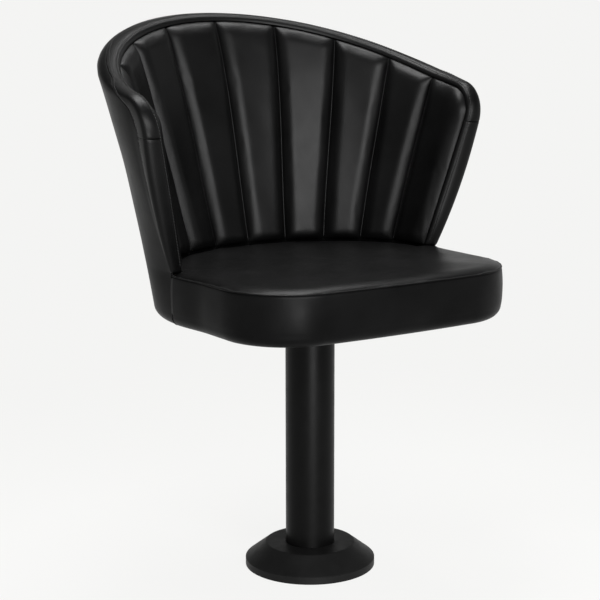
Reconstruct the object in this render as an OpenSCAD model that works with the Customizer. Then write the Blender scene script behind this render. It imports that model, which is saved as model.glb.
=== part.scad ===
/* [Pedestal] */
// Outside diameter of the column tube
column_d = 76.1; // [60:0.1:100]
// Wall of the column tube
column_wall = 3; // [2:0.5:5]
// Height of the column tube's upper end above the floor
column_top_z = 386; // [340:1:400]
// Diameter of the floor flange
flange_d = 190; // [180:1:194]
// Thickness of the floor flange
flange_t = 8; // [6:1:10]
// Distance of the floor bolt holes' centres from the flange's edge
floor_bolt_edge_w = 20; // [16:1:28]
// Diameter of each floor bolt hole
floor_bolt_hole_d = 11; // [8:0.5:13]
// Number of floor bolt holes
floor_bolt_count = 4; // [3:1:6]

/* [Base cover] */
// Space between the floor flange's edge and the base cover's wall
cover_space_w = 4.5; // [2:0.5:12]
// Width of the base cover's slope, seen from above
cover_slope_w = 32.5; // [24:0.5:40]
// Height of the base cover
cover_h = 36; // [32:1:50]
// Height of the base cover's upright edge
cover_edge_h = 12; // [10:1:16]
// Wall of the base cover
cover_wall = 2; // [1.5:0.5:3]
// Height of the rubber ring under the cover's top
grip_ring_h = 5; // [3:0.5:8]
// Radial width of the rubber ring
grip_ring_w = 6; // [4:0.5:9]

/* [Swivel] */
// Outside diameter of the swivel spindle
spindle_d = 50; // [40:1:56]
// Wall of the swivel spindle
spindle_wall = 5; // [4:0.5:8]
// Height of the spindle's lower end above the floor
spindle_low_z = 186; // [100:1:220]
// Length of each bush's sleeve
bush_length = 40; // [20:1:60]
// Distance from the column's top down to the lower bush
bush_spacing = 150; // [110:1:160]
// Thickness of the upper bush's flange
bush_flange_t = 4; // [2:0.5:6]
// Thickness of the thrust washer
thrust_washer_t = 3; // [2:0.5:5]
// Radial clearance of the spindle in its bushes
running_clearance = 0.05; // [0.02:0.01:0.1]
// Width of the circlip's groove
circlip_t = 2; // [1.5:0.1:3]
// Depth of the circlip's groove
circlip_depth = 1.5; // [1:0.1:2]
// Width of the circlip's ring beyond the spindle
circlip_reach = 4; // [3:0.5:6]
// Thickness of the washer above the circlip
spindle_washer_t = 2; // [1:0.5:4]
// Outside diameter of the hub collar under the seat plate
hub_collar_d = 84; // [70:1:110]
// Height of the hub collar
hub_collar_h = 12; // [8:1:20]

/* [Seat plate and board] */
// Side of the square seat plate
plate_side = 220; // [180:5:260]
// Thickness of the seat plate
plate_t = 5; // [4:0.5:8]
// Corner radius of the seat plate
plate_corner_r = 18; // [8:1:30]
// Distance between neighbouring seat plate bolts
plate_bolt_spacing = 170; // [120:5:180]
// Thread diameter of the seat plate bolts
bolt_d = 8; // [6:1:10]
// Thickness of the seat board
board_t = 15; // [12:1:20]
// Distance of the seat board's edge inside the seat's outline
board_inset = 18; // [16:1:30]
// Thickness of the black cloth under the seat
dust_cover_t = 1; // [0.5:0.1:1.5]

/* [Seat] */
// Depth of the seat's underside edge below the seat plate's upper face
seat_edge_drop = 3.1; // [2:0.1:6]
// Height of the seat's band, from its underside edge up to the seam round the top
band_h = 75; // [60:1:100]
// Width of the seat
seat_w = 472; // [440:2:500]
// Distance from the column's axis to the seat's front
seat_front = 239; // [200:1:280]
// Corner radius at the seat's front
seat_corner_r = 108; // [50:1:120]
// Bow of the seat's front edge
seat_front_bow = 4; // [0:1:12]
// Radius that the leather turns under the seat with
under_r = 18; // [14:1:24]
// Height of the seat's crown above its seam
seat_crown_h = 10; // [6:1:24]
// Height of the rounded shoulder above the seat's seam
seat_shoulder_h = 5; // [3:0.5:8]
// Width of that shoulder
seat_shoulder_w = 9; // [6:0.5:14]
// Swell of the seat's upright band
band_swell = 1.5; // [0:0.5:5]
// Thickness of the leather with its lining
leather_t = 2.5; // [1.5:0.1:3]

/* [Back shell] */
// Height above the seat's seam of the level that the shell's plan starts from
shell_start_h = 3; // [0:0.5:12]
// Rise from that level to the seam at the top of the back
shell_rise = 355; // [300:5:420]
// Distance from the seat's side in to the shell's inside face, at the shell's lower level
arm_inside_w = 15.5; // [12:0.5:22]
// Gain of the inside half width at the top of the back
shell_flare = 86; // [40:1:110]
// Inside distance of the back behind the column's axis, at the lower level
back_y = 175; // [150:1:200]
// Straight lean of the back over the rise
back_lean = 102.4; // [70:0.2:130]
// Hollow of the back's curve
back_hollow = 57.6; // [0:0.2:60]
// Backward curl at the top of the back
back_curl = 55.9; // [0:0.1:60]
// Place of the plan arc's centre at the lower level, behind the column's axis
arc_centre_y = 6; // [5:1:20]
// Forward shift of the arc's centre over the rise
arc_centre_lean = 13; // [0:1:30]
// Place of the arm's front edge at the lower level, behind the column's axis
arm_front_y = 5; // [0:1:5]
// Forward lean of the arm's front edge over the rise
arm_front_lean = 64; // [40:1:80]
// Distance that the arm's front edge stands out beyond its straight run
arm_end_out_w = 2; // [0:0.5:5]
// Thickness of the shell where it is thinnest, from valley to outside
wall_mid = 30; // [28:0.5:40]
// Extra thickness of the shell towards its top and its foot
wall_flare = 28; // [0:1:36]
// Thickness of the arm's front edge at the lower level
arm_wall = 20; // [16:0.5:24]
// Gain of the arm's front edge over the rise
arm_wall_gain = 58; // [40:1:60]
// Loss of that gain by the top of the rise
arm_wall_ease = 73; // [50:1:75]
// Drop of the rim from the back's middle to the arms
rim_drop = 118; // [60:1:150]
// Radius of the corner between the rim and the arm's front edge
arm_corner_r = 44; // [25:1:50]
// Length of the rim along the last flute
arm_flute_run = 100; // [80:1:120]
// Height of the rim band's crown
rim_crown_h = 12; // [8:0.5:16]
// Thickness of the moulded plywood shell
ply_t = 12; // [9:0.5:14]
// Height of each flute's crown above its seams
flute_crown_h = 10; // [6:0.5:14]

/* [Hidden] */
$fn = 96;

// Overrun of every cut past the face that it goes through
cut = 1;
// Gap that a soft or curved piece keeps from the one it lies on
lay_gap = 0.3;
// Gap between the ends of the shell's layers and the pieces that close them
end_gap = 0.6;
// Gap round the edges of the seat board and of the cloth under it
board_edge_gap = 1.8;
// Gap between neighbouring flutes, and before the arm's front edge, as shares of the half
flute_gap_share = 0.001;
layer_end_share = 0.998;
// Play of a bush or ring on the tube that holds it
seat_clearance = 0.02;
// Axial play of the swivel
swivel_play = 0.1;

right_angle = 90;
full_turn = 4 * right_angle;

column_r = column_d / 2;
column_bore_r = column_r - column_wall;
spindle_r = spindle_d / 2;
bush_bore_r = spindle_r + running_clearance;
cover_r = flange_d / 2 + cover_space_w + cover_wall;
cover_top_r = cover_r - cover_slope_w;
floor_bolt_circle_r = flange_d / 2 - floor_bolt_edge_w;
lower_bush_z = column_top_z - bush_spacing - bush_length;
thrust_z = column_top_z + bush_flange_t;
hub_z = thrust_z + thrust_washer_t + swivel_play;
plate_z = hub_z + hub_collar_h;
plate_top_z = plate_z + plate_t;
board_z = plate_top_z + dust_cover_t;
board_top_z = board_z + board_t;
seat_low_z = plate_top_z - seat_edge_drop;
seat_seam_z = seat_low_z + band_h;
shell_low_z = seat_seam_z + shell_start_h;
shell_half_w = seat_w / 2 - arm_inside_w;

// Bevel at the base cover's edges, and the cover's clearance round the column
cover_bevel = 1;
cover_hole_clearance = 0.5;

// Clearance of a bolt in its hole, and of a bolt's shank in its nut
bolt_clearance = 0.5;
thread_clearance = 0.05;
// Thickness and outside radius of the washers under the bolt heads
washer_t = 1.6;
washer_r = bolt_d;
// Height and corner radius of the hexagon bolt heads
bolt_head_h = 5.3;
bolt_head_r = 7.5;
// Flange, barrel and clearance of the tee nuts let into the board
tee_flange_t = 1.5;
tee_flange_r = 11;
tee_barrel_r = 5.2;
tee_barrel_l = 9;
tee_clearance = 0.1;
// Shank radius, head, length and depth of the screws through the shell, and their places
screw_r = 2.2;
screw_head_r = 4;
screw_head_h = 2;
screw_bite = 28;
screw_sink = 3.5;
screw_shares = [-0.75, -0.5, -0.25, 0, 0.25, 0.5, 0.75];

// Flutes on each half of the back, and the share of the half where the last one starts
flutes_per_side = 5;
last_flute_share = 1 / flutes_per_side;
straight_from_share = 1 - last_flute_share;
// Angles that the equal flutes cover on the plan arc, at the lower level and gained above it
plan_turn = 86;
plan_turn_gain = 11.4;
// Angle whose sine draws the rim's fall
rim_turn = 75;
// Level, as a share of the rise, where the shell is thinnest
wall_mid_share = 0.42;
// Inward lean of the shell's foot
foot_taper_share = 0.17;
// Forward lean of the arm's front face at its foot, and the level where that has faded
arm_splay_share = 0.3;
splay_end_share = 0.6;
// Largest shares of a wall that its plywood and the rim band's crown take
ply_wall_share = 0.35;
crown_wall_share = 0.3;
// Shares of a wall at the back of the flutes and at the front of the foam behind them
flute_backing_share = 0.12;
foam_front_share = 0.235;

// Height of a flute's rounded lower end and of its rolled upper end
flute_foot_h = 24;
flute_head_h = 28;
// Height of the lower tuck of the back's cover above the board
flute_tuck_z = board_top_z + lay_gap;
// Width that the leather laps under the seat, and the rise of that lap
lap_w = 8;
lap_rise = 1.2;

// Shares of a flute's width and the share of the crown at each of them
flute_width_shares = [0, 0.18, 0.38, 0.62, 0.82, 1];
flute_crown_shares = [0, 0.78, 1, 1, 0.78, 0];
// The same for the flutes at the arms' fronts, which end at a rounded corner
front_flute_width_shares = [0, 0.18, 0.38, 0.62, 0.82, 0.94, 1];
front_flute_crown_shares = [0, 0.78, 1, 1, 0.78, 0.4, 0];
// Shares of the foot, the middle and the head of a flute, and the crown there
foot_height_shares = [0, 0.3, 1];
foot_crown_shares = [0, 0.62, 1];
middle_height_shares = [0.3, 0.6];
head_height_shares = [1, 0.4, 0.12, 0];
head_crown_shares = [1, 0.86, 0.5, 0];
// Shares of the half shell and of its height where the plain layers have their points
layer_column_shares = [0, 0.1, 0.2, 0.3, 0.4, 0.5, 0.6, 0.7, 0.8, 0.87, 0.93, 0.965, 0.985,
    layer_end_share];
layer_row_shares = [0, 0.16, 0.33, 0.5, 0.66, 0.83, 1];
// Angles down the turn under the seat
under_angles = [90, 60, 30, 0];
// Shares of the seat outline at the crown's inner rings, and how far forward their middle lies
crown_ring_shares = [0.88, 0.62, 0.3];
crown_forward_share = 0.125;
// Shares of the shoulder's width and height at its rings
shoulder_inset_shares = [0, 0.09, 0.36, 1];
shoulder_height_shares = [0, 0.52, 0.86, 1];
// Distance of the cushion's back edge outside the valleys
cushion_back_d = -1;
// Shares of the band's height and of its swell there
band_height_shares = [0.3, 0.65, 0.9, 1];
band_swell_shares = [0.9, 1, 0.5, 0];
// Angles round the rim band's section
rim_angles = [0, 26, 52, 78, 102, 128, 154, 180];
// Steps along the rim of each half, round its corner and down the arm's front
rim_steps = 14;
corner_steps = 6;
arm_steps = 7;
// Steps round the seat's front corner, along its front and along its back
corner_turns = 8;
front_steps = 6;
back_steps = 8;

function smooth(k) = let (c = min(1, max(0, k))) c * c * (3 - 2 * c);
function mix(a, b, k) = a + (b - a) * k;

// Level of a height, from 0 at the shell's lower level to 1 at the top of the back
function level(z) = max(0, (z - shell_low_z) / shell_rise);
function half_w(t) = shell_half_w + shell_flare * t;
function centre_y(t) = arc_centre_y - arc_centre_lean * t;
function depth(t) = back_y + back_lean * t - back_hollow * pow(t, 2) + back_curl * pow(t, 3)
    - centre_y(t);
function front_y(t) = arm_front_y - arm_front_lean * t;
function last_turn(t) = right_angle + (centre_y(t) - front_y(t)) / depth(t) * 180 / PI;
function turn(f, t) = let (equal = min(f, straight_from_share) * (plan_turn + plan_turn_gain * t),
    k = max(0, f - straight_from_share) / last_flute_share)
    mix(equal, last_turn(t), k);

// Share of the arm's front stretch that place f has reached
function at_arm(f) = smooth((f - straight_from_share) / last_flute_share);

// Thickness from the valleys to the outside at share f of the half and height z
function wall(f, z) = let (t = level(z)) mix(
    wall_mid + wall_flare * pow(t - wall_mid_share, 2) - foot_taper_share * max(0, shell_low_z - z),
    arm_wall + arm_wall_gain * t - arm_wall_ease * pow(t, 2), at_arm(f));

function splay(t) = arm_splay_share * max(0, 1 - t / splay_end_share);

// Point d outside the valleys at place s, from -1 at the left arm to 1 at the right one
function shell_point(s, z, d) = let (
    f = abs(s), side = s < 0 ? -1 : 1, t = level(z), a = half_w(t), b = depth(t),
    w = turn(f, t), bend = min(w, right_angle), run = (w - bend) * PI / 180,
    out = arm_end_out_w * (w > right_angle ? (w - right_angle) / (last_turn(t) - right_angle) : 0),
    nx = sin(bend) / a, ny = cos(bend) / b, n = norm([nx, ny]))
    [side * (a * sin(bend) + out + d * nx / n),
     centre_y(t) + b * cos(bend) - b * run + d * (ny / n - splay(t) * at_arm(f)), z];

// Height of the rim's seam at share f of the half
function rim_z(f) = let (reach = (1 - f) / last_flute_share * arm_flute_run,
    in_corner = min(reach, arm_corner_r))
    shell_low_z + shell_rise - rim_drop * pow(sin(rim_turn * f), 2) - arm_corner_r
    + sqrt(pow(arm_corner_r, 2) - pow(arm_corner_r - in_corner, 2));

// Offset of the leather's inner face, where it turns under the seat
function inside_turn(z) = z > seat_low_z + under_r ? leather_t
    : under_r - sqrt(pow(under_r - leather_t, 2) - pow(seat_low_z + under_r - z, 2));

// Offsets of the plywood's faces from the valleys
function ply_out(f, z) = wall(f, z) - inside_turn(z) - lay_gap;
function ply_in(f, z) = let (w = wall(f, z))
    w - leather_t - lay_gap - min(ply_t, ply_wall_share * w);

// Both halves' places from one half's list of shares
function both_sides(shares) = concat([for (i = [len(shares) - 1:-1:1]) -shares[i]], shares);

// Faces of a grid of rows and columns, two triangles to a cell
function grid_faces(rows, cols, first, flip) = [for (r = [0:rows - 2], c = [0:cols - 2])
    let (a = first + r * cols + c, b = a + 1, d = a + cols, e = d + 1)
    each flip ? [[a, b, d], [b, e, d]] : [[a, d, b], [b, d, e]]];

// Faces between two rows of point numbers
function seam_faces(one, two) = [for (i = [0:len(one) - 2])
    each [[one[i], one[i + 1], two[i]], [one[i + 1], two[i + 1], two[i]]]];

// Closed solid between an outer and an inner grid of points, rows running upward
module slab(outer, inner) {
    rows = len(outer);
    cols = len(outer[0]);
    n = rows * cols;
    points = concat([for (r = outer) each r], [for (r = inner) each r]);
    low = [for (c = [0:cols - 1]) c];
    high = [for (c = [0:cols - 1]) (rows - 1) * cols + c];
    left = [for (r = [0:rows - 1]) r * cols];
    right = [for (r = [0:rows - 1]) r * cols + cols - 1];
    polyhedron(points, concat(
        grid_faces(rows, cols, 0, true),
        grid_faces(rows, cols, n, false),
        seam_faces([for (i = low) i + n], low),
        seam_faces(high, [for (i = high) i + n]),
        seam_faces(left, [for (i = left) i + n]),
        seam_faces([for (i = right) i + n], right)), convexity = 6);
}

// Closed solid over equal rings of points, closed at each end by a fan to that ring's middle
module ring_solid(rings, closing_low, closing_high) {
    n = len(rings[0]);
    k = len(rings);
    points = concat([for (r = rings) each r], [closing_low, closing_high]);
    sides = [for (r = [0:k - 2], i = [0:n - 1])
        let (a = r * n + i, b = r * n + (i + 1) % n, d = a + n, e = b + n)
        each [[a, b, d], [b, e, d]]];
    low_fan = [for (i = [0:n - 1]) [(i + 1) % n, i, k * n]];
    high_fan = [for (i = [0:n - 1]) [(k - 1) * n + i, (k - 1) * n + (i + 1) % n, k * n + 1]];
    polyhedron(points, concat(sides, low_fan, high_fan), convexity = 6);
}

function middle(ring) = [for (axis = [0:2]) sum([for (p = ring) p[axis]]) / len(ring)];
function sum(list, i = 0) = i < len(list) ? list[i] + sum(list, i + 1) : 0;

module ring(outer_r, inner_r, h) {
    difference() {
        cylinder(h = h, r = outer_r);
        translate([0, 0, -cut]) cylinder(h = h + 2 * cut, r = inner_r);
    }
}

module floor_flange() {
    color("dimgray") difference() {
        cylinder(h = flange_t, d = flange_d);
        for (i = [0:floor_bolt_count - 1])
            rotate(right_angle / 2 + i * full_turn / floor_bolt_count)
                translate([floor_bolt_circle_r, 0, -cut])
                    cylinder(h = flange_t + 2 * cut, d = floor_bolt_hole_d, $fn = 48);
    }
}

module column_tube() {
    color([0.06, 0.06, 0.06]) translate([0, 0, flange_t])
        ring(column_r, column_bore_r, column_top_z - flange_t);
}

module base_cover() {
    hole_r = column_r + cover_hole_clearance;
    color([0.07, 0.07, 0.07]) rotate_extrude(convexity = 4) polygon([
        [cover_r - cover_wall, 0],
        [cover_r, 0],
        [cover_r, cover_edge_h - cover_bevel],
        [cover_r - cover_bevel, cover_edge_h],
        [cover_top_r + cover_bevel, cover_h - cover_bevel / 2],
        [cover_top_r - cover_bevel, cover_h],
        [hole_r, cover_h],
        [hole_r, cover_h - cover_wall],
        [cover_top_r - cover_bevel - cover_wall, cover_h - cover_wall],
        [cover_r - cover_wall, cover_edge_h - cover_wall]]);
}

module cover_grip_ring() {
    color([0.03, 0.03, 0.03]) translate([0, 0, cover_h - cover_wall - grip_ring_h])
        ring(column_r + grip_ring_w, column_r + seat_clearance, grip_ring_h);
}

module upper_bush() {
    color("ivory") difference() {
        union() {
            translate([0, 0, column_top_z - bush_length])
                cylinder(h = bush_length, r = column_bore_r - seat_clearance);
            translate([0, 0, column_top_z]) cylinder(h = bush_flange_t, r = column_r);
        }
        translate([0, 0, column_top_z - bush_length - cut])
            cylinder(h = bush_length + bush_flange_t + 2 * cut, r = bush_bore_r);
    }
}

module lower_bush() {
    color("ivory") translate([0, 0, lower_bush_z])
        ring(column_bore_r - seat_clearance, bush_bore_r, bush_length);
}

module thrust_washer() {
    color("goldenrod") translate([0, 0, thrust_z])
        ring(column_r, bush_bore_r, thrust_washer_t);
}

module swivel_spindle() {
    groove_z = lower_bush_z - spindle_washer_t - swivel_play - circlip_t;
    color("silver") difference() {
        translate([0, 0, spindle_low_z]) ring(spindle_r, spindle_r - spindle_wall, plate_z - spindle_low_z);
        translate([0, 0, groove_z]) difference() {
            cylinder(h = circlip_t, r = spindle_r + cut);
            translate([0, 0, -cut]) cylinder(h = circlip_t + 2 * cut, r = spindle_r - circlip_depth);
        }
    }
}

module spindle_washer() {
    color("silver") translate([0, 0, lower_bush_z - spindle_washer_t - swivel_play])
        ring(spindle_r + circlip_reach, bush_bore_r, spindle_washer_t);
}

module spindle_circlip() {
    mouth = spindle_r / 2;
    z = lower_bush_z - spindle_washer_t - swivel_play - circlip_t;
    color("dimgray") difference() {
        translate([0, 0, z])
            ring(spindle_r + circlip_reach / 2, spindle_r - circlip_depth + seat_clearance, circlip_t);
        translate([0, -mouth / 2, z - cut]) cube([spindle_d, mouth, circlip_t + 2 * cut]);
    }
}

module hub_collar() {
    color("dimgray") translate([0, 0, hub_z])
        ring(hub_collar_d / 2, spindle_r + seat_clearance, hub_collar_h);
}

module at_plate_bolts() {
    for (x = [-1, 1], y = [-1, 1])
        translate([x * plate_bolt_spacing / 2, y * plate_bolt_spacing / 2, 0]) children();
}

module seat_plate() {
    reach = plate_side / 2 - plate_corner_r;
    color("dimgray") difference() {
        union() {
            translate([-plate_side / 2, -reach, plate_z]) cube([plate_side, 2 * reach, plate_t]);
            translate([-reach, -plate_side / 2, plate_z]) cube([2 * reach, plate_side, plate_t]);
            for (x = [-reach, reach], y = [-reach, reach])
                translate([x, y, plate_z]) cylinder(h = plate_t, r = plate_corner_r, $fn = 48);
        }
        at_plate_bolts() translate([0, 0, plate_z - cut])
            cylinder(h = plate_t + 2 * cut, r = bolt_d / 2 + bolt_clearance, $fn = 48);
    }
}

module plate_washers() {
    color("silver") at_plate_bolts() translate([0, 0, plate_z - washer_t])
        ring(washer_r, bolt_d / 2 + bolt_clearance, washer_t, $fn = 48);
}

module plate_bolts() {
    color("dimgray") at_plate_bolts() translate([0, 0, plate_z - washer_t - bolt_head_h]) {
        cylinder(h = bolt_head_h, r = bolt_head_r, $fn = 6);
        translate([0, 0, bolt_head_h])
            cylinder(h = board_top_z - plate_z + washer_t, r = bolt_d / 2 - thread_clearance, $fn = 48);
    }
}

module tee_nuts() {
    color("silver") at_plate_bolts() difference() {
        union() {
            translate([0, 0, board_top_z - tee_flange_t])
                cylinder(h = tee_flange_t, r = tee_flange_r, $fn = 48);
            translate([0, 0, board_top_z - tee_flange_t - tee_barrel_l])
                cylinder(h = tee_barrel_l + tee_flange_t, r = tee_barrel_r, $fn = 48);
        }
        translate([0, 0, board_z]) cylinder(h = board_t + cut, r = bolt_d / 2, $fn = 48);
    }
}

// How far back the seat block reaches at distance x to the side, in front of the arm's front face
function seat_side_y(x) = front_y(0) - 2 * lay_gap
    - arm_splay_share * max(0, x - shell_half_w - arm_end_out_w);

// Right half of the seat block's front outline, from the arm's front edge to the middle
function half_front(inset) = let (
    side_x = seat_w / 2 - inset,
    r = seat_corner_r - inset,
    corner = [side_x - r, -seat_front + inset + r])
    concat(
        [[side_x, seat_side_y(side_x)]],
        [for (i = [0:corner_turns]) let (w = right_angle * i / corner_turns)
            [corner[0] + r * cos(w), corner[1] - r * sin(w)]],
        [for (i = [1:front_steps]) let (x = corner[0] * (1 - i / front_steps))
            [x, -seat_front + inset - seat_front_bow * (1 - pow(x / corner[0], 2))]]);

// Right half of a line round the seat, whose back lies back_d(f) outside the valleys
function half_outline(inset, back_d) = concat(
    [for (i = [0:back_steps - 1]) let (f = i / back_steps, p = shell_point(f, shell_low_z, back_d(f)))
        [p[0], p[1]]],
    [for (p = [shell_point(1, shell_low_z, back_d(1))]) if (p[0] < seat_w / 2 - inset)
        [p[0], seat_side_y(p[0])]],
    half_front(inset));

// A right half and its mirror image, joined at the front's middle
function mirrored(half, skip) = concat(half,
    [for (i = [len(half) - 2:-1:skip]) [-half[i][0], half[i][1]]]);
function outline(inset, back_d) = mirrored(half_outline(inset, back_d), 1);

function at_height(points, z) = [for (p = points) [p[0], p[1], z]];

ply_foot_z = board_z + board_t / 2;
function board_back_d(f) = min(ply_in(f, ply_foot_z), wall(f, board_z) - inside_turn(board_z))
    - board_edge_gap;

module seat_board() {
    color("burlywood") difference() {
        translate([0, 0, board_z]) linear_extrude(board_t)
            polygon(outline(board_inset, function(f) board_back_d(f)));
        at_plate_bolts() {
            translate([0, 0, board_z - cut])
                cylinder(h = board_t + 2 * cut, r = bolt_d / 2 + bolt_clearance, $fn = 48);
            translate([0, 0, board_top_z - tee_flange_t - tee_barrel_l - tee_clearance])
                cylinder(h = board_t, r = tee_barrel_r + tee_clearance, $fn = 48);
            translate([0, 0, board_top_z - tee_flange_t - tee_clearance])
                cylinder(h = board_t, r = tee_flange_r + tee_clearance, $fn = 48);
        }
    }
}

module dust_cover() {
    lap_end = under_r + lap_w + board_edge_gap;
    color([0.05, 0.05, 0.05]) difference() {
        translate([0, 0, plate_top_z]) linear_extrude(dust_cover_t)
            polygon(outline(lap_end, function(f) wall(f, seat_low_z) - lap_end));
        at_plate_bolts() translate([0, 0, plate_top_z - cut])
            cylinder(h = dust_cover_t + 2 * cut, r = bolt_d / 2 + bolt_clearance, $fn = 48);
    }
}

// Height of the seat top's edge, and of the flutes' feet just above it
flute_foot_z = seat_seam_z + seat_shoulder_h + 2 * lay_gap;
crown_middle = [0, -crown_forward_share * seat_front];

// Rings of the seat's top face, skin below its surface, from the seam to the middle
function crown_z(k, skin) = seat_seam_z + seat_shoulder_h - skin
    + (seat_crown_h - seat_shoulder_h) * (1 - k * k);
function edge_ring(inset, z) = at_height(
    outline(inset, function(f) cushion_back_d - inset), z);
function shoulder_rings(skin) = [for (i = [0:len(shoulder_inset_shares) - 1])
    edge_ring(skin + shoulder_inset_shares[i] * (seat_shoulder_w - skin),
        seat_seam_z + lay_gap + shoulder_height_shares[i] * (seat_shoulder_h - skin - lay_gap))];
function crown_rings(skin) = [for (k = crown_ring_shares)
    [for (p = outline(0, function(f) cushion_back_d)) let (q = crown_middle + k * (p - crown_middle))
        [q[0], q[1], crown_z(k, skin)]]];
function backwards(list) = [for (i = [len(list) - 1:-1:0]) list[i]];

module seat_foam() {
    skin = leather_t + lay_gap;
    foot = board_top_z + lay_gap;
    rings = concat(
        [edge_ring(skin, foot)],
        [edge_ring(skin, seat_seam_z - lay_gap)],
        shoulder_rings(skin),
        crown_rings(skin));
    color("khaki") ring_solid(rings, [crown_middle[0], crown_middle[1], foot],
        [crown_middle[0], crown_middle[1], crown_z(0, skin)]);
}

module seat_top_panel() {
    rings = concat(
        backwards(crown_rings(leather_t)),
        backwards(shoulder_rings(leather_t)),
        shoulder_rings(0),
        crown_rings(0));
    color([0.08, 0.08, 0.08]) ring_solid(rings,
        [crown_middle[0], crown_middle[1], crown_z(0, leather_t)],
        [crown_middle[0], crown_middle[1], crown_z(0, 0)]);
}

// Profile of the leather under and up the seat's side: distance inside the outline, then height
function under_profile(skin) = concat(
    [[under_r + lap_w, seat_low_z + lap_rise + skin]],
    [for (w = under_angles)
        [under_r - (under_r - skin) * cos(w), seat_low_z + under_r - (under_r - skin) * sin(w)]]);
function band_profile(skin) = concat(under_profile(skin),
    [for (i = [0:len(band_height_shares) - 1])
        [skin - band_swell * band_swell_shares[i],
         mix(seat_low_z + under_r, seat_seam_z, band_height_shares[i])]]);

module seat_boxing() {
    color([0.08, 0.08, 0.08]) slab(
        [for (p = band_profile(0)) at_height(mirrored(half_front(p[0]), 0), p[1])],
        [for (p = band_profile(leather_t)) at_height(mirrored(half_front(p[0]), 0), p[1])]);
}

// Heights of a layer's rows at share f, from two low rows up to the rim's seam
function layer_rows(f, low_rows) = concat(low_rows,
    [for (v = layer_row_shares) mix(shell_low_z, rim_z(f) - end_gap, v)]);
// Grid of points at offsets d(f, z)
function layer_grid(low_rows, d) = let (columns = both_sides(layer_column_shares))
    [for (r = [0:len(low_rows) + len(layer_row_shares) - 1]) [for (s = columns)
        let (f = abs(s), z = layer_rows(f, low_rows)[r]) shell_point(s, z, d(f, z))]];

module shell_frame() {
    low = [ply_foot_z, seat_low_z + under_r];
    color("burlywood") slab(
        layer_grid(low, function(f, z) ply_out(f, z)),
        layer_grid(low, function(f, z) ply_in(f, z)));
}

module back_foam() {
    color("khaki") slab(
        layer_grid([flute_tuck_z], function(f, z) ply_in(f, z) - lay_gap),
        layer_grid([flute_tuck_z], function(f, z) foam_front_share * wall(f, z)));
}

module outside_back() {
    columns = both_sides(layer_column_shares);
    function turned(skin) = [for (p = under_profile(skin)) [for (s = columns)
        shell_point(s, p[1], wall(abs(s), p[1]) - p[0])]];
    color([0.08, 0.08, 0.08]) slab(
        concat(turned(0), layer_grid([], function(f, z) wall(f, z))),
        concat(turned(leather_t), layer_grid([], function(f, z) wall(f, z) - leather_t)));
}

// Rows and crown shares of a flute at share f
function flute_rows(f) = let (top = rim_z(f) - end_gap,
    foot = flute_foot_z + flute_foot_h, head = rim_z(f) - flute_head_h) concat(
    [flute_tuck_z],
    [for (k = foot_height_shares) flute_foot_z + k * flute_foot_h],
    [for (k = middle_height_shares) mix(foot, head, k)],
    [for (k = head_height_shares) top - k * flute_head_h]);
flute_row_crowns = concat([0], foot_crown_shares, [for (k = middle_height_shares) 1], head_crown_shares);

// One flute between shares from and to of a half, on the side given as 1 or -1
module flute(from, to, side, width_shares, crown_shares) {
    places = side > 0 ? width_shares : backwards(width_shares);
    crowns = side > 0 ? crown_shares : backwards(crown_shares);
    function grid(d) = [for (r = [0:len(flute_row_crowns) - 1]) [for (c = [0:len(places) - 1])
        let (f = mix(from, to, places[c]), z = flute_rows(f)[r])
        shell_point(side * f, z, d(f, z, flute_row_crowns[r] * crowns[c]))]];
    slab(grid(function(f, z, k) flute_backing_share * wall(f, z)),
        grid(function(f, z, k) -flute_crown_h * k));
}

module back_flutes() {
    color([0.09, 0.09, 0.09]) for (side = [-1, 1], i = [0:flutes_per_side - 1]) {
        last = i == flutes_per_side - 1;
        flute(i / flutes_per_side + flute_gap_share / 2,
            last ? layer_end_share : (i + 1) / flutes_per_side - flute_gap_share / 2, side,
            last ? front_flute_width_shares : flute_width_shares,
            last ? front_flute_crown_shares : flute_crown_shares);
    }
}

// Line along the shell's edge: place and height, from the left arm's foot over the rim
corner_share = 1 - arm_corner_r / arm_flute_run * last_flute_share;
half_edge = concat(
    [for (i = [0:rim_steps]) let (f = corner_share * i / rim_steps) [f, rim_z(f)]],
    [for (i = [1:corner_steps]) let (f = mix(corner_share, 1, sin(right_angle * i / corner_steps)))
        [f, rim_z(f)]],
    [for (i = [1:arm_steps]) [1, mix(rim_z(1), flute_foot_z, i / arm_steps)]]);
edge_line = concat([for (i = [len(half_edge) - 1:-1:1]) [-half_edge[i][0], half_edge[i][1]]], half_edge);
function edge_point(i, d) = shell_point(edge_line[i][0], edge_line[i][1], d);

// Rounded section of the border at point i of the edge line
function border_ring(i) = let (
    n = len(edge_line),
    t = wall(abs(edge_line[i][0]), edge_line[i][1]),
    start = edge_point(i, 0),
    out = (edge_point(i, t) - start) / t,
    along = edge_point(min(i + 1, n - 1), 0) - edge_point(max(i - 1, 0), 0),
    away = cross(along, out) / norm(cross(along, out)),
    crown = min(rim_crown_h, crown_wall_share * t))
    [for (w = rim_angles) start + out * t * (1 - cos(w)) / 2 + away * crown * sin(w)];

module border(from, to) {
    rings = [for (i = [from:to]) border_ring(i)];
    color([0.08, 0.08, 0.08]) ring_solid(rings, middle(rings[0]), middle(rings[len(rings) - 1]));
}

module arm_front_left() mirror([1, 0, 0]) arm_front_right();
module rim_band() border(arm_steps, len(edge_line) - 1 - arm_steps);
module arm_front_right() border(len(edge_line) - 1 - arm_steps, len(edge_line) - 1);

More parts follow.
